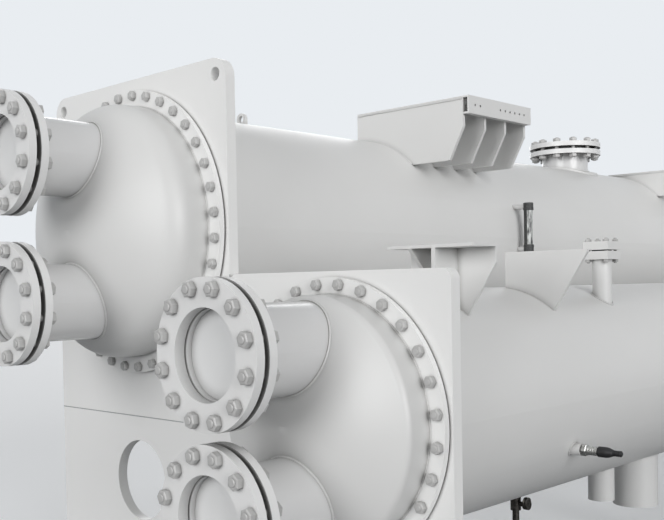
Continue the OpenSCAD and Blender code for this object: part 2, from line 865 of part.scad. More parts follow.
// End caps of the level glass, each on its own tap from the shell
module level_glass_ends() {
    color("dimgray")
        for (z = glass_tap_heights) {
            start = sqrt(pow(upper_r, 2) - pow(z - upper_z, 2)) - root;
            union() {
                translate([glass_x, glass_distance, z - glass_cap_height / 2])
                    cylinder(d = glass_cap_d, h = glass_cap_height);
                translate([upper_x + start, glass_distance, z])
                    rotate([0, 90, 0]) cylinder(d = glass_tap_d, h = glass_x - upper_x - start);
            }
        }
}

module port_pipe() {
    foot = lower_z + sqrt(pow(lower_r, 2) - pow(port_offset, 2)) - root;
    color("gainsboro")
        translate([port_x, port_distance, foot])
            ring(port_pipe_d, port_pipe_d - 2 * port_wall, port_flange_bottom - foot);
}

module port_flanges() {
    t = port_flange_thickness;
    hole = port_flange / 2 - port_hole_inset;
    color("whitesmoke")
        for (z = [port_flange_bottom, port_joint + port_gasket / 2])
            difference() {
                translate([port_x - port_flange / 2, port_distance - port_flange / 2, z])
                    cube([port_flange, port_flange, t]);
                for (sx = [-1, 1])
                    for (sy = [-1, 1])
                        translate([port_x + sx * hole, port_distance + sy * hole, z - cut])
                            cylinder(d = port_hole_d, h = t + 2 * cut, $fn = 32);
            }
}

module liquid_stubs() {
    color("gainsboro")
        for (stub = liquid_stub_list)
            translate([lower_x, stub[0], lower_z - lower_r - stub[2]])
                ring(stub[1], stub[1] - 2 * stub_wall, stub[2] + root);
}

// Small cock under the lower shell: neck, body, outlet and a hand knob on its spindle
module drain_valve() {
    body_height = drain_body_share * drain_length;
    neck = drain_neck_share * drain_length;
    spindle_d = drain_knob_d / 2;
    color("darkslategray")
        translate([lower_x, drain_distance, lower_z - lower_r])
            union() {
                translate([0, 0, -drain_length]) cylinder(d = drain_neck_d, h = drain_length + root);
                translate([0, 0, -neck - body_height]) cylinder(d = drain_body_d, h = body_height);
                translate([0, 0, -neck - body_height / 2])
                    rotate([0, 90, 0]) cylinder(d = spindle_d, h = drain_body_d);
                translate([drain_body_d, 0, -neck - body_height / 2])
                    rotate([0, 90, 0]) cylinder(d = drain_knob_d, h = spindle_d);
            }
}

module sensor_boss() {
    color("gainsboro")
        translate([lower_x + boss_foot - root, sensor_distance, lower_z - sensor_drop])
            rotate([0, 90, 0]) ring(boss_d, boss_d / 2, boss_length + root);
}

// Hexagon, round body and tapered boot, in one line with the boss
module temperature_sensor() {
    hex = sensor_body_length / 3;
    color("dimgray")
        translate([lower_x + boss_end, sensor_distance, lower_z - sensor_drop])
            rotate([0, 90, 0])
                union() {
                    cylinder(d = boss_d, h = hex, $fn = 6);
                    cylinder(d = sensor_boot_d, h = sensor_body_length);
                    translate([0, 0, sensor_body_length])
                        cylinder(d1 = sensor_boot_d, d2 = sensor_boot_d / 2, h = sensor_boot_length);
                }
}

module lifting_eye(y) {
    outer = eye_hole_d + 2 * eye_rim;
    centre = upper_ridge + outer / 2;
    difference() {
        slab(y - gusset_thickness / 2, gusset_thickness) {
            translate([upper_x, centre]) circle(d = outer);
            translate([upper_x - outer / 2, upper_ridge + seat]) square([outer, outer / 2 - seat]);
        }
        along_y(upper_x, y - gusset_thickness, centre)
            cylinder(d = eye_hole_d, h = 2 * gusset_thickness);
    }
}

module lifting_eyes() {
    color("gainsboro")
        for (y = [eye_distance, rear_face - eye_distance]) lifting_eye(y);
}

front_foot();
rear_foot();
upper_front_support();
upper_rear_support();
upper_front_tube_sheet();
upper_rear_tube_sheet();
lower_front_tube_sheet();
lower_rear_tube_sheet();
upper_shell();
lower_shell();
upper_front_flange();
upper_front_head();
upper_rear_flange();
upper_rear_head();
lower_front_flange();
lower_front_head();
lower_rear_flange();
lower_rear_head();
channel_gaskets();
upper_nozzle_pipes();
lower_nozzle_pipes();
nozzle_flanges();
nozzle_gaskets();
counter_flanges();
nozzle_blanks();
gas_nozzle_pipe();
gas_nozzle_pad();
gas_blind_flange();
compressor_gussets();
compressor_edge_channel();
compressor_top_plate();
rear_bracket_gussets();
rear_bracket_top();
pipe_bracket_gussets();
pipe_bracket_shelves();
level_glass();
level_glass_ends();
port_pipe();
port_flanges();
liquid_stubs();
drain_valve();
sensor_boss();
temperature_sensor();
lifting_eyes();
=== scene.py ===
"""Looks of a twin shell and tube heat exchanger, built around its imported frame.

Every length is in metres, in the frame of the CAD model: -Y is the side of the
water nozzles, +X the side of the small fittings, and the floor lies at Z = 0.
"""

import logging
import math
from collections.abc import Callable, Sequence
from dataclasses import dataclass
from enum import Enum

import bpy
from mathutils import Matrix, Vector


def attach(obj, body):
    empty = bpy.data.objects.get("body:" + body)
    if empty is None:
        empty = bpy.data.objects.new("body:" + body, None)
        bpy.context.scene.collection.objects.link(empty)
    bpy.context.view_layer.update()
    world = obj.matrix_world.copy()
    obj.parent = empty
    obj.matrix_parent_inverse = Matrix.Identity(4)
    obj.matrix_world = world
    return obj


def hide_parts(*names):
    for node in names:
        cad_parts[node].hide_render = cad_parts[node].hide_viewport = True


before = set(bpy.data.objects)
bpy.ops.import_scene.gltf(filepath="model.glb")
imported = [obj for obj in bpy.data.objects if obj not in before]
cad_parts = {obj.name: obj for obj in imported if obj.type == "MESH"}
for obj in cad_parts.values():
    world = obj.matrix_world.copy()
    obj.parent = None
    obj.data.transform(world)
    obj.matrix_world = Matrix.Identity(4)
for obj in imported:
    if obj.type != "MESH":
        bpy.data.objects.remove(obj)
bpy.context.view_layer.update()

LOG = logging.getLogger("heat_exchanger")
MM = 0.001
# Numbers of a Mix node's two colour inputs and of its colour output
MIX_A, MIX_B, MIX_OUT = 6, 7, 2
# The water nozzles and the gas nozzle share one flange size: bolt circle, bolts and clamped length
NOZZLE_CIRCLE = 295 * MM
NOZZLE_BOLTS = 12
NOZZLE_GRIP = 58 * MM
# Shares of a chamfer's width, or of a stud's diameter, that the cut edges take
NUT_CHAMFER_RISE = 0.6
STUD_CHAMFER_IN = 0.12
STUD_CHAMFER_RISE = 0.08
# Degrees that set the uneven turns of the nuts, which look alike every sixth of a turn
SPIN_STEP, SPIN_NAME, HEXAGON_TURN = 37, 11, 60
# A face whose normal lies this far along an axis looks that way
FACING = 0.9
# Angles in degrees over which an edge stays sharp
NUT_SHARP, TRIM_SHARP, BEAD_SHARP = 20.0, 30.0, 60.0
GUSSET = 12.0 * MM


def linear(hex_colour: str) -> tuple[float, float, float, float]:
    """Turn an sRGB hex colour into linear values.

    Args:
        hex_colour: the colour as #rrggbb.

    Returns:
        Red, green, blue and an alpha of one.
    """
    parts = [int(hex_colour[i:i + 2], 16) / 255 for i in (1, 3, 5)]
    red, green, blue = (
        part / 12.92 if part <= 0.04045 else ((part + 0.055) / 1.055) ** 2.4 for part in parts
    )
    return red, green, blue, 1.0


def add_node(
    tree: bpy.types.NodeTree,
    kind: str,
    settings: dict[str | int, object] | None = None,
    links: dict[str | int, object] | None = None,
) -> bpy.types.Node:
    """Add one node to a tree.

    Args:
        tree: the tree that gets the node.
        kind: the node's type name.
        settings: properties of the node by name, or values of its inputs by name or number.
        links: output sockets that feed the node's inputs, by input name or number.

    Returns:
        The new node.
    """
    node = tree.nodes.new(kind)
    for name, value in (settings or {}).items():
        if isinstance(name, int) or name in node.inputs:
            node.inputs[name].default_value = value
        else:
            setattr(node, name, value)
    for name, socket in (links or {}).items():
        tree.links.new(socket, node.inputs[name])
    return node


class Axis(Enum):
    """Which way a ring of bolts, or a round fitting, faces."""

    FRONT = (math.pi / 2, 0.0, 0.0)
    REAR = (-math.pi / 2, 0.0, 0.0)
    UP = (0.0, 0.0, 0.0)
    DOWN = (math.pi, 0.0, 0.0)
    RIGHT = (0.0, math.pi / 2, 0.0)

    def turn(self) -> Matrix:
        """Give the turn that brings +Z to this way."""
        x, y, _ = self.value
        return Matrix.Rotation(y, 4, "Y") @ Matrix.Rotation(x, 4, "X")


@dataclass(frozen=True)
class SprayedPaint:
    """Two-pack polyurethane topcoat, sprayed on blasted steel.

    It gives the eye an even satin grey-white with a faint orange peel, a slow
    drift in tone where the coats overlap, softly broken highlights, and painted
    shade that darkens its colour in the corners and gaps.
    """

    name: str
    slot: str
    colour: str
    shade: str
    roughness: float = 0.42
    patch: float = 420 * MM
    peel: float = 9 * MM
    peel_depth: float = 0.10 * MM
    swell: float = 260 * MM
    swell_depth: float = 0.5 * MM
    # Colour of the painted shade that darkens the corners and gaps
    painted_shade: str = "#a2a19f"
    corner: float = 30 * MM
    # Open sky seen from a corner at which the painted shade is full, and at which it is gone
    shade_full: float = 0.25
    shade_gone: float = 0.8
    smoother: float = 0.04
    rougher: float = 0.06

    def material(self) -> bpy.types.Material:
        """Build the paint's nodes and return the material."""
        made = bpy.data.materials.new(self.name)
        made.use_nodes = True
        tree = made.node_tree
        shader = tree.nodes["Principled BSDF"]
        place = add_node(tree, "ShaderNodeTexCoord").outputs["Object"]
        drift = add_node(
            tree, "ShaderNodeTexNoise",
            {"Scale": 1 / self.patch, "Detail": 3.0, "Roughness": 0.55}, {"Vector": place},
        )
        tone = add_node(
            tree, "ShaderNodeMix",
            {"data_type": "RGBA", MIX_A: linear(self.shade), MIX_B: linear(self.colour)},
            {"Factor": drift.outputs["Fac"]},
        )
        # Painted shade: where ambient occlusion finds corners, gaps and bores, the colour turns
        # towards the painted shade colour
        corner = add_node(
            tree, "ShaderNodeAmbientOcclusion", {"samples": 8, "Distance": self.corner},
        )
        unshaded = add_node(
            tree, "ShaderNodeMapRange",
            {"From Min": self.shade_full, "From Max": self.shade_gone},
            {"Value": corner.outputs["AO"]},
        )
        shaded_tone = add_node(
            tree, "ShaderNodeMix", {"data_type": "RGBA", MIX_A: linear(self.painted_shade)},
            {"Factor": unshaded.outputs["Result"], MIX_B: tone.outputs[MIX_OUT]},
        )
        tree.links.new(shaded_tone.outputs[MIX_OUT], shader.inputs["Base Color"])
        gloss = add_node(
            tree, "ShaderNodeMapRange",
            {
                "To Min": self.roughness - self.smoother,
                "To Max": self.roughness + self.rougher,
            },
            {"Value": drift.outputs["Fac"]},
        )
        tree.links.new(gloss.outputs["Result"], shader.inputs["Roughness"])
        # Orange peel is 1 to 3 mm wide on real paint, drawn coarser so that it shows
        peel = add_node(
            tree, "ShaderNodeTexNoise",
            {"Scale": 1 / self.peel, "Detail": 2.0}, {"Vector": place},
        )
        swell = add_node(
            tree, "ShaderNodeTexNoise",
            {"Scale": 1 / self.swell, "Detail": 1.0}, {"Vector": place},
        )
        wavy = add_node(
            tree, "ShaderNodeBump",
            {"Distance": self.swell_depth}, {"Height": swell.outputs["Fac"]},
        )
        fine = add_node(
            tree, "ShaderNodeBump", {"Distance": self.peel_depth},
            {"Height": peel.outputs["Fac"], "Normal": wavy.outputs["Normal"]},
        )
        tree.links.new(fine.outputs["Normal"], shader.inputs["Normal"])
        shader.inputs["IOR"].default_value = 1.5
        return made


@dataclass(frozen=True)
class GrainyStuff:
    """Any finish that a grain in two tones describes, such as plated steel or rubber."""

    name: str
    slot: str
    colour: str
    shade: str
    roughness: float
    metallic: float = 0.0
    grain: float = 6 * MM
    depth: float = 0.2 * MM
    contrast: float = 0.5
    stretch: float = 1.0
    gloss_drift: float = 0.05

    def material(self) -> bpy.types.Material:
        """Build the finish's nodes and return the material."""
        made = bpy.data.materials.new(self.name)
        made.use_nodes = True
        tree = made.node_tree
        shader = tree.nodes["Principled BSDF"]
        shader.inputs["Metallic"].default_value = self.metallic
        place = add_node(tree, "ShaderNodeTexCoord").outputs["Object"]
        # A stretch above one draws the grain out into upright streaks
        drawn = add_node(
            tree, "ShaderNodeMapping", {"Scale": (1.0, 1.0, 1 / self.stretch)}, {"Vector": place},
        )
        grain = add_node(
            tree, "ShaderNodeTexNoise", {"Scale": 1 / self.grain, "Detail": 3.0},
            {"Vector": drawn.outputs["Vector"]},
        )
        spread = add_node(
            tree, "ShaderNodeMapRange",
            {"From Min": 0.5 - self.contrast / 2, "From Max": 0.5 + self.contrast / 2},
            {"Value": grain.outputs["Fac"]},
        )
        tone = add_node(
            tree, "ShaderNodeMix",
            {"data_type": "RGBA", MIX_A: linear(self.shade), MIX_B: linear(self.colour)},
            {"Factor": spread.outputs["Result"]},
        )
        tree.links.new(tone.outputs[MIX_OUT], shader.inputs["Base Color"])
        gloss = add_node(
            tree, "ShaderNodeMapRange",
            {
                "To Min": self.roughness - self.gloss_drift,
                "To Max": self.roughness + self.gloss_drift,
            },
            {"Value": grain.outputs["Fac"]},
        )
        tree.links.new(gloss.outputs["Result"], shader.inputs["Roughness"])
        bump = add_node(
            tree, "ShaderNodeBump", {"Distance": self.depth}, {"Height": grain.outputs["Fac"]},
        )
        tree.links.new(bump.outputs["Normal"], shader.inputs["Normal"])
        return made


class Finish(Enum):
    """The finishes of the heat exchanger."""

    # Polyurethane on flat plate: the palest coat, satin, with little painted shade in its corners
    PLATE_PAINT = SprayedPaint(
        "plate_polyurethane_paint", "painted_plate", "#ebebea", "#e6e6e5", 0.42,
        corner=14 * MM,
    )
    # Polyurethane on rolled shell plate: the same coat, made a little greyer as painted shade, with
    # broad soft highlights
    SHELL_PAINT = SprayedPaint(
        "shell_polyurethane_paint", "painted_shell", "#e0e0df", "#d9d9d8", 0.40,
    )
    # Polyurethane on the pressed heads: the same coat, greyer again as painted shade, and matt
    HEAD_PAINT = SprayedPaint(
        "head_polyurethane_paint", "painted_shell", "#d6d6d5", "#cfcfce", 0.40,
    )
    # Polyurethane on smooth pipe: the same coat, greyer than on the plates as painted shade;
    # glossy, with a thin bright line along the top
    PIPE_PAINT = SprayedPaint(
        "pipe_polyurethane_paint", "painted_shell", "#d9d9d9", "#d1d1d1", 0.20, swell=180 * MM,
    )
    # Polyurethane on turned flanges: pale faces, dark painted shade in the bores and between the
    # discs
    FLANGE_PAINT = SprayedPaint(
        "flange_polyurethane_paint", "painted_plate", "#e6e6e6", "#dededd", 0.38, patch=160 * MM,
        painted_shade="#5f5e5c", corner=120 * MM,
    )
    # Polyurethane brushed over nuts and studs: darker than the plate paint, as painted shade
    NUT_PAINT = SprayedPaint(
        "nut_polyurethane_paint", "painted_plate", "#bfbfbe", "#abaaa9", 0.34, patch=60 * MM,
        painted_shade="#5e5d5b", corner=16 * MM,
    )
    # The same paint over weld metal, whose ripples show through it, made darker as painted shade
    # along the joints
    WELD_PAINT = SprayedPaint(
        "weld_polyurethane_paint", "painted_shell", "#dadada", "#cacac9", 0.40,
        peel=11 * MM, peel_depth=1.4 * MM, painted_shade="#96958f", corner=12 * MM,
    )
    # Polyurethane on thin blanking discs, whose sheet waves a little, with painted shade round
    # their rims
    BLANK_PAINT = SprayedPaint(
        "blank_disc_polyurethane_paint", "painted_plate", "#e6e6e6", "#dfe0e0", 0.30,
        swell=120 * MM, swell_depth=0.9 * MM, painted_shade="#7d7c7a", corner=45 * MM,
    )
    # Painted shade along the joint between two plates: a mid grey, matt strip
    SEALER = GrainyStuff("seam_painted_shade", "painted_plate", "#a9abac", "#8d8f90", 0.7)
    # Compressed fibre sheet: matt, dark and slightly flecked
    GASKET = GrainyStuff("compressed_fibre_gasket", "gasket", "#3f4143", "#2b2c2e", 0.8)
    # Oiled steel forging: nearly black, with brown hollows and a dull shine
    DARK_STEEL = GrainyStuff(
        "oiled_forged_steel", "fitting", "#5f5c58", "#23211f", 0.34, 0.85, 9 * MM, 0.4 * MM,
    )
    # Zinc plated steel: bright grey metal with a fine cloudy spangle
    ZINC = GrainyStuff(
        "zinc_plated_steel", "fitting", "#dcdcd9", "#9c9c99", 0.28, 1.0, 8 * MM, 0.1 * MM,
    )
    # Neoprene rubber: black and matt
    RUBBER = GrainyStuff(
        "neoprene_rubber", "black_plastic", "#202022", "#131314", 0.55, 0.0, 4 * MM, 0.15 * MM,
    )
    # Blackened cast iron: dark grey, rough and a little worn
    IRON = GrainyStuff(
        "blackened_cast_iron", "dark_glass", "#4a4b4b", "#1f2020", 0.5, 0.0, 7 * MM, 0.4 * MM,
    )
    # Borosilicate sight tube, stained inside: pale and dark streaks under a gloss
    SIGHT_GLASS = GrainyStuff(
        "stained_sight_glass", "dark_glass", "#c6c8c6", "#3c3e3e", 0.12, 0.0, 11 * MM, 0.0,
        0.25, 3.5,
    )

    def made(self) -> bpy.types.Material:
        """Return the finish's material, built at its first use."""
        return bpy.data.materials.get(self.value.name) or self.value.material()


class Bench:
    """The hand work that every piece goes through."""

    @staticmethod
    def clear() -> None:
        """Leave edit mode and deselect everything."""
        if bpy.context.object and bpy.context.object.mode != "OBJECT":
            bpy.ops.object.mode_set(mode="OBJECT")
        bpy.ops.object.select_all(action="DESELECT")

    @staticmethod
    def take(piece: bpy.types.Object) -> None:
        """Select one piece alone and make it active."""
        Bench.clear()
        piece.select_set(True)
        bpy.context.view_layer.objects.active = piece

    @staticmethod
    def pick(piece: bpy.types.Object, test: Callable[[bpy.types.MeshPolygon], bool]) -> None:
        """Enter edit mode with the faces selected that pass a test.

        Args:
            piece: the piece to edit.
            test: tells of each face whether it is wanted.
        """
        Bench.take(piece)
        bpy.ops.object.mode_set(mode="EDIT")
        bpy.ops.mesh.select_mode(type="FACE")
        bpy.ops.mesh.select_all(action="DESELECT")
        bpy.ops.object.mode_set(mode="OBJECT")
        for face in piece.data.polygons:
            face.select = test(face)
        bpy.ops.object.mode_set(mode="EDIT")

    @staticmethod
    def apply(piece: bpy.types.Object) -> None:
        """Apply all modifiers and the transform, so that the place is in the mesh."""
        Bench.take(piece)
        for modifier in list(piece.modifiers):
            bpy.ops.object.modifier_apply(modifier=modifier.name)
        bpy.ops.object.transform_apply(location=True, rotation=True, scale=True)

    @staticmethod
    def join(parts: Sequence[bpy.types.Object], name: str) -> bpy.types.Object:
        """Join parts to one piece with its place in its mesh.

        Args:
            parts: the parts to join.
            name: the piece's name.

        Returns:
            The joined piece.
        """
        bpy.context.view_layer.update()
        Bench.take(parts[0])
        for part in parts:
            part.select_set(True)
        if len(parts) > 1:
            bpy.ops.object.join()
        piece = bpy.context.object
        piece.name = name
        Bench.apply(piece)
        return piece

    @staticmethod
    def copies(
        template: bpy.types.Object, places: Sequence[Matrix], name: str,
    ) -> bpy.types.Object:
        """Copy a template to each place, join the copies and delete the template.

        Args:
            template: the piece that repeats, modelled at the origin.
            places: where each copy goes.
            name: the joined piece's name.

        Returns:
            The joined piece.
        """
        made = []
        for place in places:
            Bench.take(template)
            bpy.ops.object.duplicate(linked=False)
            made.append(bpy.context.object)
            made[-1].matrix_world = place
        piece = Bench.join(made, name)
        bpy.data.objects.remove(template)
        return piece

    @staticmethod
    def piped(wire: bpy.types.Object, name: str, radius: float) -> bpy.types.Object:
        """Turn a mesh of edges into a round bead along them.

        Args:
            wire: the edges.
            name: the piece's name.
            radius: the bead's radius.

        Returns:
            The bead as a mesh.
        """
        Bench.take(wire)
        bpy.ops.object.convert(target="CURVE")
        bead = bpy.context.object
        bead.data.bevel_depth = radius
        bead.data.bevel_resolution = 1
        bead.data.use_fill_caps = True
        bpy.ops.object.convert(target="MESH")
        piece = bpy.context.object
        piece.name = name
        Bench.apply(piece)
        return piece

    @staticmethod
    def lay(wire: bpy.types.Object, node: str) -> None:
        """Drop a wire along its own -Z onto a node of the frame."""
        wrap = wire.modifiers.new("lay_on", "SHRINKWRAP")
        wrap.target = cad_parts[node]
        wrap.wrap_method = "PROJECT"
        wrap.use_project_z = True
        wrap.use_negative_direction = True
        wrap.use_positive_direction = False
        bpy.context.view_layer.update()
        Bench.take(wire)
        bpy.ops.object.modifier_apply(modifier=wrap.name)

    @staticmethod
    def finish(
        piece: bpy.types.Object, finish: Finish, smooth_angle: float | None = 35.0,
    ) -> bpy.types.Object:
        """Recalculate the normals, shade, paint and fix a piece to the body.

        Args:
            piece: the modelled piece.
            finish: what it is made of.
            smooth_angle: edges sharper than this many degrees stay sharp; None leaves all flat.

        Returns:
            The same piece.
        """
        Bench.take(piece)
        bpy.ops.object.mode_set(mode="EDIT")
        bpy.ops.mesh.select_all(action="SELECT")
        bpy.ops.mesh.normals_make_consistent(inside=False)
        bpy.ops.object.mode_set(mode="OBJECT")
        if smooth_angle is None:
            bpy.ops.object.shade_flat()
        else:
            bpy.ops.object.shade_smooth_by_angle(angle=math.radians(smooth_angle))
        piece.data.materials.clear()
        piece.data.materials.append(finish.made())
        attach(piece, "root")
        return piece


@dataclass(frozen=True)
class TurnedPart:
    """A part turned on a lathe, or milled to flats: rings one after another along its axis."""

    name: str
    place: Matrix
    rings: tuple[tuple[float, float], ...]
    sides: int = 24

    def build(self) -> bpy.types.Object:
        """Extrude the rings from a disc and return the part, with its place in its mesh."""
        Bench.clear()
        (height, radius), *others = self.rings
        bpy.ops.mesh.primitive_circle_add(
            vertices=self.sides, radius=radius, fill_type="NGON", location=(0, 0, height),
        )
        piece = bpy.context.object
        Bench.apply(piece)
        Bench.pick(piece, lambda face: True)
        for next_height, next_radius in others:
            bpy.ops.mesh.extrude_region_move(
                TRANSFORM_OT_translate={"value": (0, 0, next_height - height)},
            )
            scale = next_radius / radius
            bpy.ops.transform.resize(value=(scale, scale, 1.0), center_override=(0, 0, next_height))
            height, radius = next_height, next_radius
        bpy.ops.object.mode_set(mode="OBJECT")
        piece.matrix_world = self.place
        return Bench.join([piece], self.name)


@dataclass(frozen=True)
class StudBolt:
    """A stud with a hexagon nut at each end, standing along +Z from its lower seat."""

    grip: float
    flats: float = 32 * MM
    nut: float = 17 * MM
    stud_d: float = 20 * MM
    stud_end: float = 3 * MM
    chamfer: float = 3.4 * MM

    def _nut(self, seat: float, way: float) -> bpy.types.Object:
        """Model one chamfered nut that grows from its seat, up or down."""
        Bench.clear()
        bpy.ops.mesh.primitive_cylinder_add(
            vertices=6, radius=self.flats / math.sqrt(3),
            depth=self.nut - self.chamfer * NUT_CHAMFER_RISE,
            location=(0, 0, seat + way * (self.nut - self.chamfer * NUT_CHAMFER_RISE) / 2),
        )
        nut = bpy.context.object
        Bench.apply(nut)
        Bench.pick(nut, lambda face: face.normal.z * way > FACING)
        bpy.ops.mesh.inset(thickness=self.chamfer, depth=self.chamfer * NUT_CHAMFER_RISE)
        bpy.ops.object.mode_set(mode="OBJECT")
        return nut

    def template(self) -> bpy.types.Object:
        """Model one stud with its nuts at the origin and return it."""
        reach = self.nut + self.stud_end
        Bench.clear()
        bpy.ops.mesh.primitive_cylinder_add(
            vertices=10, radius=self.stud_d / 2,
            depth=self.grip + 2 * reach - self.stud_d * (2 * STUD_CHAMFER_RISE),
            location=(0, 0, self.grip / 2),
        )
        stud = bpy.context.object
        Bench.apply(stud)
        Bench.pick(stud, lambda face: abs(face.normal.z) > FACING)
        bpy.ops.mesh.inset(
            thickness=self.stud_d * STUD_CHAMFER_IN, depth=self.stud_d * STUD_CHAMFER_RISE,
            use_individual=True,
        )
        bpy.ops.object.mode_set(mode="OBJECT")
        return Bench.join([stud, self._nut(0.0, -1.0), self._nut(self.grip, 1.0)], "stud_bolt")


@dataclass(frozen=True)
class BoltCircle:
    """One ring of stud bolts through a pair of flanges."""

    name: str
    seat: tuple[float, float, float]
    way: Axis
    circle_d: float
    count: int
    bolt: StudBolt

    def places(self) -> list[Matrix]:
        """Give each bolt's place. The nuts stand at uneven turns, as tightened nuts do."""
        found = []
        for index in range(self.count):
            angle = (index + 0.5) * math.tau / self.count
            uneven = (index * SPIN_STEP + len(self.name) * SPIN_NAME) % HEXAGON_TURN
            spin = math.radians(uneven)
            found.append(
                Matrix.Translation(self.seat) @ self.way.turn()
                @ Matrix.Rotation(angle, 4, "Z")
                @ Matrix.Translation((self.circle_d / 2, 0, 0))
                @ Matrix.Rotation(spin, 4, "Z")
            )
        return found

    def build(self) -> list[bpy.types.Object]:
        """Model the ring and return it."""
        piece = Bench.copies(self.bolt.template(), self.places(), self.name)
        return [Bench.finish(piece, Finish.NUT_PAINT, NUT_SHARP)]


@dataclass(frozen=True)
class WeldRing:
    """A bead of weld metal laid round a pipe, shell or head where it meets another part."""

    name: str
    centre: tuple[float, float, float]
    way: Axis
    radius: float
    onto: str | None = None
    bead: float = 5 * MM
    points: int = 96

    def build(self) -> list[bpy.types.Object]:
        """Model the bead and return it."""
        Bench.clear()
        bpy.ops.mesh.primitive_circle_add(vertices=self.points, radius=self.radius)
        ring = bpy.context.object
        ring.matrix_world = Matrix.Translation(self.centre) @ self.way.turn()
        if self.onto:
            Bench.lay(ring, self.onto)
        bead = Bench.piped(ring, self.name, self.bead)
        return [Bench.finish(bead, Finish.WELD_PAINT, BEAD_SHARP)]


@dataclass(frozen=True)
class GussetWelds:
    """The beads along the gussets of a bracket, under its top plate and on the shell."""

    name: str
    shell: str
    sides_y: tuple[float, ...]
    left_x: float
    plate_right_x: float
    shell_right_x: float
    plate_z: float
    bead: float = 4 * MM
    cuts: int = 24

    def _line(self, y: float, right_x: float, height: float, lay: bool) -> bpy.types.Object:
        """Model one bead along X.

        Args:
            y: where it runs.
            right_x: where it ends.
            height: its height, or the height that it is dropped from.
            lay: whether it is dropped onto the shell.

        Returns:
            The bead.
        """
        Bench.clear()
        bpy.ops.mesh.primitive_plane_add(size=1.0)
        wire = bpy.context.object
        bpy.ops.object.mode_set(mode="EDIT")
        bpy.ops.mesh.select_mode(type="VERT")
        bpy.ops.mesh.select_all(action="DESELECT")
        bpy.ops.object.mode_set(mode="OBJECT")
        for vertex in wire.data.vertices:
            vertex.select = vertex.co.y < 0
        bpy.ops.object.mode_set(mode="EDIT")
        bpy.ops.mesh.delete(type="VERT")
        bpy.ops.mesh.select_all(action="SELECT")
        bpy.ops.mesh.subdivide(number_cuts=self.cuts)
        bpy.ops.object.mode_set(mode="OBJECT")
        length = right_x - self.left_x
        wire.matrix_world = (
            Matrix.Translation((self.left_x + length / 2, y, height))
            @ Matrix.Diagonal((length, 1.0, 1.0, 1.0)) @ Matrix.Translation((0, -0.5, 0))
        )
        Bench.apply(wire)
        if lay:
            Bench.lay(wire, self.shell)
        return Bench.piped(wire, "bead", self.bead)

    def build(self) -> list[bpy.types.Object]:
        """Model all the beads of the bracket and return them as one piece."""
        parts = []
        for y in self.sides_y:
            parts.append(self._line(y, self.plate_right_x, self.plate_z, False))
            parts.append(self._line(y, self.shell_right_x, self.plate_z, True))
        return [Bench.finish(Bench.join(parts, self.name), Finish.WELD_PAINT, BEAD_SHARP)]


@dataclass(frozen=True)
class PlateSeams:
    """The joints between the plates of one end, as low grey ribs on their faces that are painted
    shade along the joints.
    """

    end: str
    face_y: float
    left_x: float = -811.5 * MM
    seam_x: float = 62.5 * MM
    sheet_z: float = 520 * MM
    foot_z: float = 20 * MM
    top_z: float = 946 * MM
    width: float = 3 * MM
    rise: float = 0.5 * MM
    chamfer: float = 0.3 * MM

    def _rib(self, start: Vector, stop: Vector) -> bpy.types.Object:
        """Model one rib between two points of the plates' face."""
        Bench.clear()
        middle = (start + stop) / 2
        run = stop - start
        size = Vector((abs(run.x) or self.width, 2 * self.rise, abs(run.z) or self.width))
        bpy.ops.mesh.primitive_cube_add(size=1.0, location=middle)
        rib = bpy.context.object
        rib.scale = size
        Bench.apply(rib)
        Bench.pick(rib, lambda face: abs(face.normal.y) > FACING)
        bpy.ops.mesh.bevel(offset=self.chamfer, segments=1, affect="EDGES")
        bpy.ops.object.mode_set(mode="OBJECT")
        return rib

    def build(self) -> list[bpy.types.Object]:
        """Model the level and the upright seam and return them as one piece."""
        y = self.face_y
        seam = self.seam_x - self.width / 2
        level = self._rib(Vector((self.left_x, y, self.sheet_z)), Vector((seam, y, self.sheet_z)))
        upright = self._rib(
            Vector((self.seam_x, y, self.foot_z)), Vector((self.seam_x, y, self.top_z)),
        )
        piece = Bench.join([level, upright], f"{self.end}_plate_seams")
        return [Bench.finish(piece, Finish.SEALER, None)]


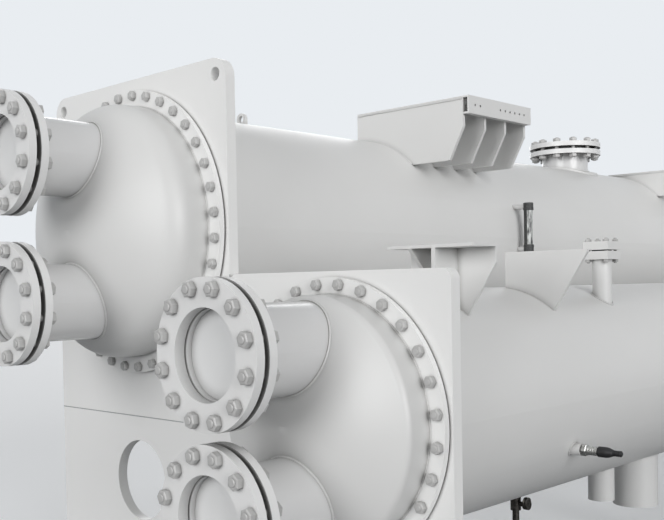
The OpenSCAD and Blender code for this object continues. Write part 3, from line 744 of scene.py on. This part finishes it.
@dataclass(frozen=True)
class TemperatureSensor:
    """The sensor's plated nut and body and its rubber boot, in place of the plain solid."""

    tip: tuple[float, float, float] = (767.4 * MM, 645 * MM, 449 * MM)
    collar: float = 4 * MM
    flats: float = 30 * MM
    nut_end: float = 17 * MM
    neck_r: float = 10 * MM
    body_d: float = 25 * MM
    body_end: float = 52 * MM
    ribs: int = 5
    boot_d: float = 29 * MM
    boot_end: float = 118 * MM
    cable_d: float = 13 * MM

    def _metal(self) -> bpy.types.Object:
        """Model the hexagon nut and the ribbed body."""
        place = Matrix.Translation(self.tip) @ Axis.RIGHT.turn()
        radius = self.flats / math.sqrt(3)
        nut = TurnedPart(
            "nut", place,
            (
                (self.collar, radius - 2 * MM), (self.collar + 1.5 * MM, radius),
                (self.nut_end - 1.5 * MM, radius), (self.nut_end, radius - 2 * MM),
            ), 6,
        ).build()
        crest, groove = self.body_d / 2, self.body_d / 2 - 1 * MM
        rings = [(0.0, self.neck_r), (self.nut_end, self.neck_r), (self.nut_end, groove)]
        step = (self.body_end - self.nut_end) / self.ribs
        for rib in range(self.ribs):
            start = self.nut_end + rib * step
            rings += [
                (start + 0.25 * step, groove), (start + 0.35 * step, crest),
                (start + 0.85 * step, crest), (start + 0.95 * step, groove),
            ]
        return Bench.join([nut, TurnedPart("body", place, tuple(rings)).build()], "sensor_body")

    def _boot(self) -> bpy.types.Object:
        """Model the boot, which narrows to ribs round the cable's way out."""
        wide, narrow = self.boot_d / 2, self.cable_d / 2
        start = self.body_end
        rings = [
            (start - 3 * MM, wide - 1.5 * MM), (start - 1 * MM, wide), (start + 22 * MM, wide),
            (start + 28 * MM, wide - 1 * MM), (start + 40 * MM, narrow + 2.5 * MM),
        ]
        place = start + 42 * MM
        while place < self.boot_end - 5 * MM:
            rings += [
                (place, narrow), (place + 1 * MM, narrow + 1.8 * MM),
                (place + 3 * MM, narrow + 1.8 * MM), (place + 4 * MM, narrow),
            ]
            place += 6 * MM
        rings.append((self.boot_end - 1 * MM, narrow))
        rings.append((self.boot_end, narrow - 1.5 * MM))
        boot = Matrix.Translation(self.tip) @ Axis.RIGHT.turn()
        return TurnedPart("sensor_boot", boot, tuple(rings)).build()

    def build(self) -> list[bpy.types.Object]:
        """Model the sensor and return its two pieces."""
        made = []
        for piece, finish in ((self._metal(), Finish.ZINC), (self._boot(), Finish.RUBBER)):
            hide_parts("temperature_sensor")
            made.append(Bench.finish(piece, finish, TRIM_SHARP))
        return made


@dataclass(frozen=True)
class LevelGlassTrim:
    """The slotted guard round the sight tube and the cups that hold it."""

    axis: tuple[float, float] = (38.5 * MM, 1555 * MM)
    low_z: float = 1052 * MM
    high_z: float = 1194 * MM
    guard_d: float = 36 * MM
    wall: float = 1.6 * MM
    slot_cosine: float = 0.25
    cup: float = 26 * MM
    cup_d: float = 40.5 * MM

    def _guard(self) -> bpy.types.Object:
        """Model the guard as a thin tube with a long slot towards +X."""
        Bench.clear()
        bpy.ops.mesh.primitive_cylinder_add(
            vertices=36, radius=self.guard_d / 2, depth=self.high_z - self.low_z,
            end_fill_type="NOTHING", location=(*self.axis, (self.low_z + self.high_z) / 2),
        )
        guard = bpy.context.object
        Bench.apply(guard)
        Bench.pick(guard, lambda face: face.normal.x > self.slot_cosine)
        bpy.ops.mesh.delete(type="FACE")
        bpy.ops.object.mode_set(mode="OBJECT")
        wall = guard.modifiers.new("wall", "SOLIDIFY")
        wall.thickness = self.wall
        wall.offset = -1.0
        Bench.apply(guard)
        return guard

    def build(self) -> list[bpy.types.Object]:
        """Model the guard with the cups over its two ends and return them as one piece."""
        parts = [self._guard()]
        radius = self.cup_d / 2
        for height, way in ((self.low_z, Axis.DOWN), (self.high_z, Axis.UP)):
            place = Matrix.Translation((*self.axis, height)) @ way.turn()
            rings = (
                (-4 * MM, radius - 2 * MM), (-3 * MM, radius), (6 * MM, radius),
                (7 * MM, radius - 0.7 * MM), (self.cup - 2 * MM, radius - 0.7 * MM),
                (self.cup, radius - 3 * MM),
            )
            parts.append(TurnedPart("cup", place, rings, 20).build())
        guard = Bench.join(parts, "level_glass_guard")
        return [Bench.finish(guard, Finish.IRON, TRIM_SHARP)]


@dataclass(frozen=True)
class DrainValveTrim:
    """The bright neck nut and the ribbed hand knob of the drain valve."""

    axis: tuple[float, float] = (456.5 * MM, 793 * MM)
    neck_z: float = 262 * MM
    knob_x: float = 490 * MM
    knob_z: float = 238 * MM
    knob_d: float = 33 * MM

    def build(self) -> list[bpy.types.Object]:
        """Model the neck nut and the knob and return them."""
        down = Matrix.Translation((*self.axis, self.neck_z)) @ Axis.DOWN.turn()
        neck = TurnedPart(
            "drain_valve_neck", down,
            ((-5 * MM, 13 * MM), (0.0, 13 * MM), (0.0, 15 * MM), (1.5 * MM, 17 * MM),
             (9 * MM, 17 * MM), (10.5 * MM, 15 * MM)), 6,
        ).build()
        right = Matrix.Translation((self.knob_x, self.axis[1], self.knob_z)) @ Axis.RIGHT.turn()
        rim = self.knob_d / 2
        knob = TurnedPart(
            "drain_valve_knob", right,
            ((-1 * MM, rim - 3 * MM), (0.5 * MM, rim), (3.5 * MM, rim), (5 * MM, rim - 2 * MM),
             (7 * MM, rim - 2 * MM), (8.5 * MM, rim), (11.5 * MM, rim),
             (13 * MM, rim - 3 * MM)), 14,
        ).build()
        return [
            Bench.finish(neck, Finish.ZINC, TRIM_SHARP),
            Bench.finish(knob, Finish.DARK_STEEL, TRIM_SHARP),
        ]


class FrameDress:
    """The finishes of the CAD nodes."""

    PAINTS: dict[Finish, tuple[str, ...]] = {
        Finish.PLATE_PAINT: (
            "front_foot", "rear_foot", "upper_front_support", "upper_rear_support",
            "upper_front_tube_sheet", "upper_rear_tube_sheet", "lower_front_tube_sheet",
            "lower_rear_tube_sheet", "upper_front_flange", "upper_rear_flange",
            "lower_front_flange", "lower_rear_flange",
        ),
        Finish.SHELL_PAINT: (
            "upper_shell", "lower_shell", "compressor_gussets", "compressor_edge_channel",
            "compressor_top_plate", "rear_bracket_gussets", "rear_bracket_top",
            "pipe_bracket_gussets", "pipe_bracket_shelves", "liquid_stubs",
            "gas_nozzle_pad", "port_pipe", "port_flanges", "sensor_boss", "lifting_eyes",
            "level_glass_ends",
        ),
        Finish.HEAD_PAINT: (
            "upper_front_head", "upper_rear_head", "lower_front_head", "lower_rear_head",
        ),
        Finish.PIPE_PAINT: ("upper_nozzle_pipes", "lower_nozzle_pipes", "gas_nozzle_pipe"),
        Finish.FLANGE_PAINT: ("nozzle_flanges", "counter_flanges", "gas_blind_flange"),
        Finish.BLANK_PAINT: ("nozzle_blanks",),
        Finish.GASKET: ("channel_gaskets", "nozzle_gaskets"),
        Finish.SIGHT_GLASS: ("level_glass",),
        Finish.DARK_STEEL: ("drain_valve",),
    }

    def build(self) -> int:
        """Give each node its finish and return how many were dressed."""
        done = 0
        for finish, nodes in self.PAINTS.items():
            for name in nodes:
                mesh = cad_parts[name].data
                mesh.materials.clear()
                mesh.materials.append(finish.made())
                done += 1
        return done


@dataclass(frozen=True)
class Unit:
    """One shell with its ends: where its axis lies and what is bolted and welded on it."""

    name: str
    axis_x: float
    axis_z: float
    shell_d: float
    head_d: float
    circle_d: float
    bolts: int
    nozzle_pitch: float
    nozzle_back_y: float
    length: float = 4000 * MM
    sheet: float = 32 * MM
    flange_y: float = 21 * MM
    pipe_d: float = 219.1 * MM

    def _ends(self) -> list[BoltCircle | WeldRing]:
        """List the bolts and beads at the front and the rear end."""
        grip = self.flange_y + self.sheet
        channel = StudBolt(grip, 25 * MM, 14 * MM, 16 * MM, 2 * MM, 2.8 * MM)
        made: list[BoltCircle | WeldRing] = []
        for end, sheet_back, flange_face, way, back in (
            ("front", self.sheet, -self.flange_y, Axis.FRONT, Axis.REAR),
            ("rear", self.length - self.sheet, self.length + self.flange_y, Axis.REAR, Axis.FRONT),
        ):
            made += [
                BoltCircle(
                    f"{self.name}_{end}_channel_bolts", (self.axis_x, sheet_back, self.axis_z),
                    way, self.circle_d, self.bolts, channel,
                ),
                WeldRing(
                    f"{self.name}_{end}_head_weld", (self.axis_x, flange_face, self.axis_z),
                    way, self.head_d / 2, None, 3 * MM, 144,
                ),
                WeldRing(
                    f"{self.name}_{end}_shell_weld", (self.axis_x, sheet_back, self.axis_z),
                    back, self.shell_d / 2, None, 6 * MM, 144,
                ),
            ]
        return made

    def _nozzles(self) -> list[BoltCircle | WeldRing]:
        """List the bolts and beads of the two water nozzles."""
        made: list[BoltCircle | WeldRing] = []
        for level, way in (("top", 1.0), ("bottom", -1.0)):
            z = self.axis_z + way * self.nozzle_pitch / 2
            name = f"{self.name}_{level}_nozzle"
            made += [
                BoltCircle(
                    f"{name}_bolts", (self.axis_x, self.nozzle_back_y, z), Axis.FRONT,
                    NOZZLE_CIRCLE, NOZZLE_BOLTS, StudBolt(NOZZLE_GRIP),
                ),
                WeldRing(
                    f"{name}_flange_weld", (self.axis_x, self.nozzle_back_y, z), Axis.REAR,
                    self.pipe_d / 2, None, 3.5 * MM,
                ),
                WeldRing(
                    f"{name}_head_weld", (self.axis_x, self.nozzle_back_y, z), Axis.FRONT,
                    self.pipe_d / 2 + 1.5 * MM, f"{self.name}_front_head", 3.5 * MM,
                ),
            ]
        return made

    def build(self) -> list[bpy.types.Object]:
        """Model the unit's bolts and beads and return them."""
        return [piece for part in self._ends() + self._nozzles() for piece in part.build()]


class Fittings:
    """The small parts on the shells."""

    PARTS: tuple[BoltCircle | WeldRing | GussetWelds, ...] = (
        BoltCircle(
            "gas_nozzle_bolts", (-374.5 * MM, 2558 * MM, 1524 * MM), Axis.UP, NOZZLE_CIRCLE,
            NOZZLE_BOLTS, StudBolt(NOZZLE_GRIP),
        ),
        BoltCircle(
            "port_bolts", (611.5 * MM, 1062 * MM, 976 * MM), Axis.UP, 60 * MM * math.sqrt(2), 4,
            StudBolt(56 * MM, 17 * MM, 8 * MM, 10 * MM, 4 * MM, 1.5 * MM),
        ),
        WeldRing(
            "gas_nozzle_flange_weld", (-374.5 * MM, 2558 * MM, 1524 * MM), Axis.DOWN, 110 * MM,
            None, 4 * MM,
        ),
        WeldRing(
            "gas_nozzle_pad_weld", (-374.5 * MM, 2558 * MM, 1520 * MM), Axis.UP, 112 * MM,
            "gas_nozzle_pad",
        ),
        WeldRing(
            "gas_pad_shell_weld", (-374.5 * MM, 2558 * MM, 1520 * MM), Axis.UP, 156 * MM,
            "upper_shell", 4 * MM,
        ),
        WeldRing(
            "port_pipe_weld", (611.5 * MM, 1062 * MM, 960 * MM), Axis.UP, 31.5 * MM,
            "lower_shell", 4 * MM, 48,
        ),
        WeldRing(
            "small_stub_weld", (421.5 * MM, 1332 * MM, 200 * MM), Axis.DOWN, 46 * MM,
            "lower_shell", 4 * MM, 64,
        ),
        WeldRing(
            "large_stub_weld", (456.5 * MM, 1588 * MM, 200 * MM), Axis.DOWN, 81 * MM,
            "lower_shell",
        ),
        WeldRing(
            "sensor_boss_weld", (766 * MM, 645 * MM, 449 * MM), Axis.RIGHT, 18 * MM,
            "lower_shell", 3 * MM, 40,
        ),
        GussetWelds(
            "compressor_bracket_welds", "upper_shell",
            tuple(
                start * MM + side
                for start in (1022.0, 1149.333, 1276.667, 1404.0) for side in (0.0, GUSSET)
            ),
            -368 * MM, 112 * MM, -112 * MM, 1549 * MM,
        ),
        GussetWelds(
            "rear_bracket_welds", "upper_shell",
            tuple(
                start * MM + side for start in (3000.0, 3184.0, 3368.0) for side in (0.0, GUSSET)
            ),
            -368 * MM, 76 * MM, -106 * MM, 1456 * MM,
        ),
    )

    def build(self) -> list[bpy.types.Object]:
        """Model all the fittings and return them."""
        made = [piece for part in self.PARTS for piece in part.build()]
        for trim in (TemperatureSensor(), LevelGlassTrim(), DrainValveTrim()):
            made += trim.build()
        return made


@dataclass
class Studio:
    """The floor, the light and the camera."""

    # Camera fitted to bolt circles, plate edges and shell outlines of the photograph.
    # The height of the picture's centre was given and not fitted.
    eye: tuple[float, float, float] = (2.08514, -1.71961, 0.91222)
    yaw: float = 43.609
    pitch: float = -1.501
    roll: float = -1.047
    focal_pixels: float = 962.63
    width_pixels: int = 664
    centre_below: float = 50.0
    middle: tuple[float, float, float] = (0.0, 1.0, 0.8)
    lamp_angle: float = 32.0
    floor_radius: float = 60.0
    floor_lift: float = 0.22
    floor_colour: str = "#e6e8ea"
    bounce_colour: str = "#9a9c9e"
    sky_colour: str = "#e9edf1"
    sky_light: float = 0.30
    film_width: float = 36.0
    # Half a millimetre low, so that the feet and the floor don't share a face
    floor_place: tuple[float, float, float] = (0.0, 1.9, -0.0005)
    # Each lamp's name, the side that it shines from and its watts per square metre
    lamps: tuple[tuple[str, tuple[float, float, float], float], ...] = (
        ("front_lamp", (1.0, -13.0, 4.2), 1.42),
        ("side_lamp", (14.0, -3.0, 3.7), 1.60),
        ("rear_lamp", (-11.0, 13.0, 6.0), 0.68),
    )

    def camera(self) -> None:
        """Place the camera at the photograph's angle."""
        Bench.clear()
        bpy.ops.object.camera_add()
        camera = bpy.context.object
        camera.name = "photo_camera"
        camera.matrix_world = (
            Matrix.Translation(self.eye)
            @ Matrix.Rotation(math.radians(self.yaw), 4, "Z")
            @ Matrix.Rotation(math.radians(90 + self.pitch), 4, "X")
            @ Matrix.Rotation(math.radians(self.roll), 4, "Z")
        )
        camera.data.sensor_width = self.film_width
        camera.data.lens = self.film_width * self.focal_pixels / self.width_pixels
        camera.data.shift_y = self.centre_below / self.width_pixels
        camera.data.clip_end = 200.0
        bpy.context.scene.camera = camera

    def lamp(self, name: str, place: tuple[float, float, float], strength: float) -> None:
        """Add a wide soft lamp, far enough off to light the whole object evenly.

        Args:
            name: the lamp's name.
            place: the side that it shines from, towards the middle of the object.
            strength: its light on a surface that faces it, in watts per square metre.
        """
        Bench.clear()
        bpy.ops.object.light_add(type="SUN", location=place)
        lamp = bpy.context.object
        lamp.name = name
        lamp.data.energy = strength
        lamp.data.angle = math.radians(self.lamp_angle)
        lamp.rotation_euler = (
            (Vector(self.middle) - Vector(place)).to_track_quat("-Z", "Y").to_euler()
        )

    def floor(self) -> None:
        """Model the pale studio floor."""
        Bench.clear()
        bpy.ops.mesh.primitive_circle_add(
            vertices=128, radius=self.floor_radius, fill_type="NGON", location=self.floor_place,
        )
        floor = bpy.context.object
        floor.name = "studio_floor"
        paint = bpy.data.materials.new("studio_floor_paint")
        paint.use_nodes = True
        shader = paint.node_tree.nodes["Principled BSDF"]
        seen = add_node(paint.node_tree, "ShaderNodeLightPath")
        tone = add_node(
            paint.node_tree, "ShaderNodeMix",
            {
                "data_type": "RGBA", MIX_A: linear(self.bounce_colour),
                MIX_B: linear(self.floor_colour),
            },
            {"Factor": seen.outputs["Is Camera Ray"]},
        )
        paint.node_tree.links.new(tone.outputs[MIX_OUT], shader.inputs["Base Color"])
        shader.inputs["Emission Color"].default_value = linear(self.floor_colour)
        lift = add_node(
            paint.node_tree, "ShaderNodeMath", {"operation": "MULTIPLY", 1: self.floor_lift},
            {0: seen.outputs["Is Camera Ray"]},
        )
        paint.node_tree.links.new(lift.outputs[0], shader.inputs["Emission Strength"])
        shader.inputs["Roughness"].default_value = 0.8
        floor.data.materials.append(paint)

    def sky(self) -> None:
        """Light the scene from all round, with a pale background behind it."""
        world = bpy.data.worlds.new("studio_world")
        world.use_nodes = True
        tree = world.node_tree
        tree.nodes.clear()
        paths = add_node(tree, "ShaderNodeLightPath")
        seen = add_node(
            tree, "ShaderNodeMath", {"operation": "MAXIMUM"},
            {0: paths.outputs["Is Camera Ray"], 1: paths.outputs["Is Glossy Ray"]},
        )
        soft = add_node(tree, "ShaderNodeBackground", {"Strength": self.sky_light})
        soft.inputs["Color"].default_value = linear("#ffffff")
        pale = add_node(tree, "ShaderNodeBackground", {"Strength": 1.0})
        pale.inputs["Color"].default_value = linear(self.sky_colour)
        mix = add_node(
            tree, "ShaderNodeMixShader", None,
            {0: seen.outputs[0], 1: soft.outputs[0], 2: pale.outputs[0]},
        )
        add_node(tree, "ShaderNodeOutputWorld", None, {"Surface": mix.outputs[0]})
        bpy.context.scene.world = world

    def build(self) -> None:
        """Set up the whole studio."""
        bpy.context.scene.view_settings.view_transform = "Standard"
        self.camera()
        self.floor()
        self.sky()
        for name, place, strength in self.lamps:
            self.lamp(name, place, strength)


def main() -> None:
    """Build the studio and dress the heat exchanger, piece by piece."""
    logging.basicConfig(level=logging.INFO, format="%(name)s: %(message)s")
    Studio().build()
    LOG.info("dressed %d nodes", FrameDress().build())
    builders: tuple[Unit | PlateSeams | Fittings, ...] = (
        Unit(
            name="upper", axis_x=-374.5 * MM, axis_z=1082 * MM, shell_d=740 * MM,
            head_d=750 * MM, circle_d=816 * MM, bolts=36, nozzle_pitch=412 * MM,
            nozzle_back_y=-384 * MM,
        ),
        Unit(
            name="lower", axis_x=456.5 * MM, axis_z=583 * MM, shell_d=626 * MM,
            head_d=612 * MM, circle_d=662 * MM, bolts=28, nozzle_pitch=364 * MM,
            nozzle_back_y=-354 * MM,
        ),
        PlateSeams("front", 0.0),
        PlateSeams("rear", 4000 * MM),
        Fittings(),
    )
    for builder in builders:
        for piece in builder.build():
            LOG.info("built %s, %d faces", piece.name, len(piece.data.polygons))


if __name__ == "__main__":
    main()
